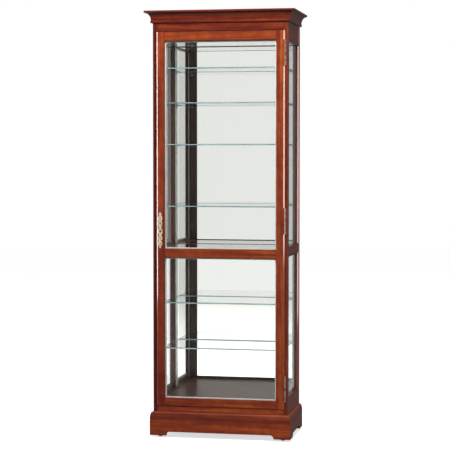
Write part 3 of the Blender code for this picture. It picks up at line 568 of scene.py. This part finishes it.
def finish_piece(name, bm, material, body):
    """Make a mesh into a piece that rides on a body."""
    bmesh.ops.recalc_face_normals(bm, faces=bm.faces)
    mesh = bpy.data.meshes.new(name)
    bm.to_mesh(mesh)
    bm.free()
    mesh.materials.append(material)
    mesh.shade_smooth()
    mesh.set_sharp_from_angle(angle=SHARP_ANGLE)
    piece = bpy.data.objects.new(name, mesh)
    bpy.context.scene.collection.objects.link(piece)
    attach(piece, body)
    return piece


# ---------------------------------------------------------------- shelf standards and clips
SHELVES = 6
STANDARD_THICKNESS = 0.0010
STANDARD_END_GAP = 0.0040
SLOT_PITCH = 0.0254 / 2
SLOT_HEIGHT = 0.0050
SLOT_WIDTH = 0.0025
CAM_GAP = 0.0012                                     # from the lock's cam to the front standards
CLIP_REACH = 0.0210                                  # from the standard to the clip's tip
CLIP_STEEL = 0.0018                                  # thickness of its bent strip
CLIP_HALF_WIDTH = 0.0045
CUSHION_HALF_WIDTH = 0.0040
CUSHION_LENGTH = 0.0100
CLIP_EDGE = 0.0004
FRONT_LIP_GAP = 0.0008                               # from the front standards to the lip's rear edge
REAR_POST_GAP = 0.0060                               # from a rear post's front edge to its standard
MIRROR_GAP = 0.0030                                  # from the rear standards to the mirror


def slotted_strip(name, x, side, y_low, y_high, z_low, z_high):
    """A flat shelf standard on a post's face, with a row of slots up its middle."""
    bm = bmesh.new()
    middle = (y_low + y_high) / 2
    columns = (y_low, middle - SLOT_WIDTH / 2, middle + SLOT_WIDTH / 2, y_high)
    heights = [z_low]
    z = z_low + SLOT_PITCH / 2
    while z + SLOT_HEIGHT < z_high:
        heights += [z, z + SLOT_HEIGHT]
        z += SLOT_PITCH
    heights.append(z_high)
    rows = [[bm.verts.new((x, y, height)) for y in columns] for height in heights]
    for level, (lower, upper) in enumerate(zip(rows, rows[1:])):
        for column in range(3):
            if level % 2 == 0 or column != 1:
                bm.faces.new((lower[column], lower[column + 1], upper[column + 1], upper[column]))
    strip = finish_piece(name, bm, ZINC, "cabinet")
    solid = strip.modifiers.new("Thickness", "SOLIDIFY")
    solid.thickness = STANDARD_THICKNESS
    solid.offset = -1.0 if strip.data.polygons[0].normal.x * side < 0 else 1.0


def shelf_clip(bm, x, side, y, top):
    """A bent clip that hooks into a standard and carries a shelf's corner on a small cushion."""
    tip = x + side * CLIP_REACH
    # Arm, hook and cushion: both ends, half width, and the depth of its bottom and top under the shelf.
    parts = ((x, tip, CLIP_HALF_WIDTH, 0.0030, 0.0012),
             (x, x + side * CLIP_STEEL, CLIP_HALF_WIDTH, 0.0130, 0.0020),
             (tip - side * CUSHION_LENGTH, tip, CUSHION_HALF_WIDTH, 0.0013, 0.0002))
    for start, end, half_width, bottom, rise in parts:
        low, high = sorted((start, end))
        add_block(bm, (low, y - half_width, top - bottom), (high, y + half_width, top - rise), CLIP_EDGE)


def shelf_hardware():
    """Standards on all four posts, and four clips under each glass shelf."""
    lip_low, lip_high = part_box("front_post_right")
    rear_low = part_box("rear_post_right")[0]
    mirror_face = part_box("back_mirror")[0][1]
    deck_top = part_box("deck_floor")[1][2]
    cam_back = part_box("lock_plug")[1][1]
    places = (("front", lip_low[0], cam_back + CAM_GAP, lip_high[1] - FRONT_LIP_GAP),
              ("rear", rear_low[0], rear_low[1] + REAR_POST_GAP, mirror_face - MIRROR_GAP))
    for end, x, y_low, y_high in places:
        for side, word in SIDES:
            slotted_strip("standard_%s_%s" % (end, word), side * x, -side, y_low, y_high,
                          deck_top + STANDARD_END_GAP, CEILING - STANDARD_END_GAP)
    for number in range(1, SHELVES + 1):
        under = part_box("glass_shelf_%d" % number)[0][2]
        bm = bmesh.new()
        for _, x, y_low, y_high in places:
            for side in (-1, 1):
                shelf_clip(bm, side * (x - STANDARD_THICKNESS), -side, (y_low + y_high) / 2, under)
        finish_piece("shelf_pins_%d" % number, bm, BRONZE, "cabinet")


# ---------------------------------------------------------------- door glazing beads, mirror channel
BEAD_WIDTH = 0.0060
GLAZING_GAP = 0.0002                                 # round the beads, inside the door's frame
LAYER_GAP = 0.0001                                   # between pane, seal and bead
SEAL_BACK = 0.0020                                   # behind the pane's rear face
SEAL_EDGE = 0.0003
BEAD_EDGE = 0.0015
CHANNEL_DEPTH = 0.0030
CHANNEL_GAP = 0.0003
CHANNEL_END_GAP = 0.0010
CHANNEL_EDGE = 0.0006


def glazing_beads():
    """Behind each door pane a pale vinyl seal, held by a dark wooden bead."""
    pane_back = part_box("door_glass_upper")[1][1]
    bounds = {"upper": (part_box("door_mid_rail")[1][2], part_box("door_top_rail")[0][2]),
              "lower": (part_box("door_bottom_rail")[1][2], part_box("door_mid_rail")[0][2])}
    bead_front = SEAL_BACK + LAYER_GAP
    layers = (("seal", pane_back + LAYER_GAP, pane_back + SEAL_BACK, VINYL, "white_laminate", SEAL_EDGE),
              ("bead", pane_back + bead_front, DOOR_BACK, DARK_BEAD, "cherry_inside", BEAD_EDGE))
    outer = STILE_INNER - GLAZING_GAP
    inner = outer - BEAD_WIDTH
    for word, (low, high) in bounds.items():
        bottom, top = low + GLAZING_GAP, high - GLAZING_GAP
        for kind, near, far, material, slot, edge in layers:
            bm = bmesh.new()
            for x_low, x_high in ((-outer, -inner), (inner, outer)):
                add_block(bm, (x_low, near, bottom), (x_high, far, top), edge)
            for z_low, z_high in ((bottom, low + BEAD_WIDTH), (high - BEAD_WIDTH, top)):
                add_block(bm, (-inner, near, z_low), (inner, far, z_high), edge)
            finish_piece("door_%s_%s" % (kind, word), bm, material, "door")


def mirror_channel():
    """The dark channel that holds the mirror's top edge under the ceiling."""
    mirror_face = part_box("back_mirror")[0][1]
    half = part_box("rear_post_right")[0][0] - CHANNEL_END_GAP
    low = (-half, mirror_face - CHANNEL_DEPTH, CEILING - CHANNEL_DEPTH)
    high = (half, mirror_face - CHANNEL_GAP, CEILING - CHANNEL_GAP)
    bm = bmesh.new()
    add_block(bm, low, high, CHANNEL_EDGE)
    finish_piece("mirror_channel", bm, DARK_BEAD, "cabinet")


# ---------------------------------------------------------------- escutcheon relief
FRONTWARD = (0, -1, 0)
LOCK_LEVEL = 0.465                                   # levels are shares of the plate's height
# Half width, half height and wire radius of the rims round the lock and round its lobe.
LOCK_RIMS = ((0.0064, 0.0068, 0.0010), (0.0106, 0.0132, 0.0009))
BEAD_RING = (0.0084, 0.0102)                         # half width and half height, between those rims
BEADS_ROUND_LOCK = 16
# The other lobes: level, half sizes of the opening, half sizes of the lobe.
LOBES = ((0.129, 0.0040, 0.0046, 0.0088, 0.0100), (0.282, 0.0040, 0.0050, 0.0088, 0.0110),
         (0.691, 0.0042, 0.0076, 0.0092, 0.0124), (0.841, 0.0040, 0.0066, 0.0086, 0.0118))
OPENING_WIRE = 0.0009
LOBE_WIRE = 0.0008
# Leaf buds at each tip and neck: level and radius.
BUDS = ((0.035, 0.0030), (0.206, 0.0040), (0.365, 0.0040), (0.588, 0.0040), (0.766, 0.0036), (0.955, 0.0034))
BUD_HEIGHT = 0.0018
BUD_TIP = 0.0002
SMALL_BEAD = ((0.0007, 0.0), (0.0008, 0.0003), (0.0004, 0.0008))
LARGE_BEAD = ((0.0009, 0.0), (0.0010, 0.0003), (0.0005, 0.0009))


def ellipse(centre, half_x, half_z, y, steps=36):
    """Points round an upright ellipse, clockwise from its top."""
    points = []
    for step in range(steps):
        angle = 2 * math.pi * (step / steps)
        points.append((centre[0] + half_x * math.sin(angle), y, centre[1] + half_z * math.cos(angle)))
    return points


def escutcheon_relief():
    """Raised rims, beads and leaf buds cast on the pierced plate, in one piece with it."""
    low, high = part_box("escutcheon")
    x = (low[0] + high[0]) / 2
    y = low[1] - 0.0001
    height = high[2] - low[2]
    lock = (x, low[2] + LOCK_LEVEL * height)
    bm = bmesh.new()
    for half_x, half_z, wire in LOCK_RIMS:
        add_loop(bm, ellipse(lock, half_x, half_z, y), wire)
    for point in ellipse(lock, *BEAD_RING, y, BEADS_ROUND_LOCK):
        add_turned(bm, SMALL_BEAD, point, FRONTWARD, 8)
    for level, hole_x, hole_z, lobe_x, lobe_z in LOBES:
        centre = (x, low[2] + level * height)
        add_loop(bm, ellipse(centre, hole_x, hole_z, y), OPENING_WIRE)
        add_loop(bm, ellipse(centre, lobe_x, lobe_z, y), LOBE_WIRE)
        for side in (-1, 1):
            middle = side * (hole_x + lobe_x) / 2
            for step in (-1, 0, 1):
                point = (x + middle * (1 - 0.25 * abs(step)), y, centre[1] + 0.45 * step * lobe_z)
                add_turned(bm, LARGE_BEAD, point, FRONTWARD, 8)
    for level, size in BUDS:
        angles = [step * math.pi / 12 for step in range(6)]
        bud = [(size * math.cos(angle), BUD_HEIGHT * math.sin(angle)) for angle in angles]
        bud.append((BUD_TIP, BUD_HEIGHT))
        add_turned(bm, bud, (x, y + 0.0002, low[2] + level * height), FRONTWARD, 16)
    finish_piece("escutcheon_relief", bm, BRASS, "door")


# ---------------------------------------------------------------- hinge tips, back screws
TIP_PROFILE = ((0.0020, 0.0), (0.0036, 0.0004), (0.0038, 0.0012), (0.0026, 0.0020), (0.0030, 0.0030),
               (0.0020, 0.0044), (0.0004, 0.0050))
# A pan head with a recess: shares of the screw's radius and of its height.
SCREW_PROFILE = ((1.0, 0.0), (0.98, 0.5), (0.82, 0.85), (0.45, 1.0), (0.38, 0.4), (0.05, 0.3))
SCREW_RADIUS = 0.0040
SCREW_INSET = 0.0100
SCREW_ROWS = 8
SCREW_COLUMNS = (-0.15, 0.0, 0.15)


def hinge_axis():
    """Where the hinge pins stand, from the door's own joint."""
    joints = {joint["name"]: joint for joint in frame["record"]["behaviour"]["joints"]}
    return joints["door_swing"]["pos_m"][:2]


def hinge_tips():
    """Small turned buttons on both ends of each hinge pin."""
    x, y = hinge_axis()
    bm = bmesh.new()
    for word in ("lower", "middle", "upper"):
        low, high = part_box("hinge_%s_frame_leaf" % word)
        for z, way in ((low[2], -1), (high[2], 1)):
            add_turned(bm, TIP_PROFILE, (x, y, z), (0, 0, way), 16)
    finish_piece("hinge_pin_tips", bm, BRONZE, "cabinet")


def back_screws():
    """Screws round the back panel, into the posts and rails."""
    low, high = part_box("back_panel")
    proud = CAD_BOX[1][1] - high[1] - 0.0001
    profile = [(radius * SCREW_RADIUS, rise * proud) for radius, rise in SCREW_PROFILE]
    bottom, top = low[2] + SCREW_INSET, high[2] - SCREW_INSET
    places = []
    for row in range(SCREW_ROWS):
        z = bottom + (high[2] - low[2] - 2 * SCREW_INSET) * row / (SCREW_ROWS - 1)
        places += [(side * (high[0] - SCREW_INSET), z) for side in (-1, 1)]
    places += [(x, z) for x in SCREW_COLUMNS for z in (bottom, top)]
    bm = bmesh.new()
    for x, z in places:
        add_turned(bm, profile, (x, high[1], z), (0, 1, 0), 14)
    finish_piece("back_panel_screws", bm, ZINC, "cabinet")


# ---------------------------------------------------------------- stage, light and camera
def area_light(name, location, target, size, power, colour=(1, 1, 1), shine=True, fill=True):
    """A soft lamp; without shine it makes no reflections, and without fill it makes nothing else."""
    lamp = bpy.data.lights.new(name, "AREA")
    lamp.shape = "RECTANGLE"
    lamp.size, lamp.size_y = size
    lamp.energy = power
    lamp.color = colour
    holder = bpy.data.objects.new(name, lamp)
    holder.location = location
    holder.rotation_euler = (Vector(target) - Vector(location)).to_track_quat("-Z", "Y").to_euler()
    holder.visible_camera = False
    holder.visible_transmission = False
    holder.visible_glossy = shine
    holder.visible_diffuse = fill
    bpy.context.scene.collection.objects.link(holder)


FLOOR_RADIUS = 14.0


def floor():
    """A white floor under the cabinet. It lights nothing and gloss doesn't mirror it."""
    bm = bmesh.new()
    bmesh.ops.create_circle(bm, cap_ends=True, segments=96, radius=FLOOR_RADIUS)
    mesh = bpy.data.meshes.new("floor")
    bm.to_mesh(mesh)
    bm.free()
    ground = bpy.data.objects.new("floor", mesh)
    bpy.context.scene.collection.objects.link(ground)
    tree = Tree("studio_floor")
    cloud = tree.noise(tree.place(), 2.0, 3.0)
    tree.drive("Base Color", tree.mix(cloud, (0.82, 0.82, 0.82), (0.85, 0.85, 0.85)))
    tree.set(roughness=0.8, specular_ior_level=0.2, emission_color=(1, 1, 1), emission_strength=0.66)
    mesh.materials.append(tree.material)
    ground.visible_glossy = False
    ground.visible_diffuse = False


def room_level(tree):
    """How bright the room is, by direction and by the kind of ray that sees it."""
    coordinates = tree.nodes.new("ShaderNodeTexCoord")
    across, depth, height = tree.split(coordinates.outputs["Generated"])
    # Clear glass and the mirror see a bright room that is dim behind the cabinet.
    level = tree.span(depth, 0.90, 0.17, 0.45, 0.95, "SMOOTHSTEP")
    # Soft gloss sees one that is dimmer in front too, which keeps haze off the wood.
    front = tree.span(depth, 0.26, 0.55, -0.95, -0.40)
    gloss = tree.math("MINIMUM", front, tree.span(depth, 0.55, 0.12, 0.45, 0.92))
    # What lights the piece is weaker from below and from the right.
    below = tree.span(height, 0.15, 0.55, -0.25, 0.25)
    fill = tree.math("MULTIPLY", level, tree.span(across, 1.00, 0.30, -0.10, 0.60))
    fill = tree.math("MULTIPLY", fill, below)

    ray = tree.nodes.new("ShaderNodeLightPath").outputs
    strength = tree.blend(ray["Is Diffuse Ray"], level, fill)
    polished = tree.blend(ray["Is Singular Ray"], gloss, level)
    strength = tree.blend(ray["Is Glossy Ray"], strength, polished)
    strength = tree.blend(ray["Is Transmission Ray"], strength, level)
    return tree.blend(ray["Is Camera Ray"], strength, 1.0)


WARM = (1.0, 0.96, 0.91)
COOL = (0.92, 0.94, 1.0)
ROSE = (1.0, 0.88, 0.87)
PEACH = (1.0, 0.86, 0.80)
CORAL = (1.0, 0.80, 0.72)


def studio():
    """A white room, soft lamps above and at both sides, and strips that draw the bright edges."""
    world = bpy.data.worlds.new("studio")
    world.use_nodes = True
    tree = Nodes(world.node_tree)
    background = tree.nodes["Background"]
    background.inputs["Color"].default_value = (1, 1, 1, 1)
    tree.link(room_level(tree), background.inputs["Strength"])
    bpy.context.scene.world = world
    bpy.context.scene.view_settings.view_transform = "Standard"

    area_light("key_light", (0.6, -3.4, 4.0), (0, 0, 1.7), (1.6, 1.6), 225, WARM, shine=False)
    area_light("top_light", (0.3, -1.0, 4.2), (0, -0.1, 1.0), (2.5, 2.0), 40)
    area_light("left_light", (-4.0, 0.3, 1.2), (0, 0, 1.1), (1.2, 3.0), 56)
    area_light("right_light", (4.0, -1.2, 1.3), (0, 0, 1.1), (0.8, 3.0), 14, COOL)
    area_light("left_strip", (-3.9, -1.37, 1.75), (-0.3, -0.16, 1.75), (0.7, 2.9), 150, ROSE, fill=False)
    area_light("right_strip", (3.9, -3.30, 1.80), (0.3, -0.16, 1.80), (0.5, 2.5), 56, PEACH, fill=False)
    area_light("rear_strip", (3.9, -0.37, 1.60), (0.3, 0.16, 1.60), (0.4, 2.9), 44, CORAL, fill=False)


def camera():
    """The viewpoint: right of the cabinet's middle, at chest height, through a long lens."""
    data = bpy.data.cameras.new("camera")
    data.sensor_width = 36.0
    data.lens = 124.52
    data.shift_y = -0.03
    degrees_down, degrees_round = 2.315, 11.196
    viewpoint = bpy.data.objects.new("camera", data)
    viewpoint.location = (1.4500, -7.3696, 1.3809)
    viewpoint.rotation_euler = (math.radians(90 - degrees_down), 0, math.radians(degrees_round))
    bpy.context.scene.collection.objects.link(viewpoint)
    bpy.context.scene.camera = viewpoint


camera()
studio()
floor()
dress_nodes()
shelf_hardware()
glazing_beads()
mirror_channel()
escutcheon_relief()
hinge_tips()
back_screws()
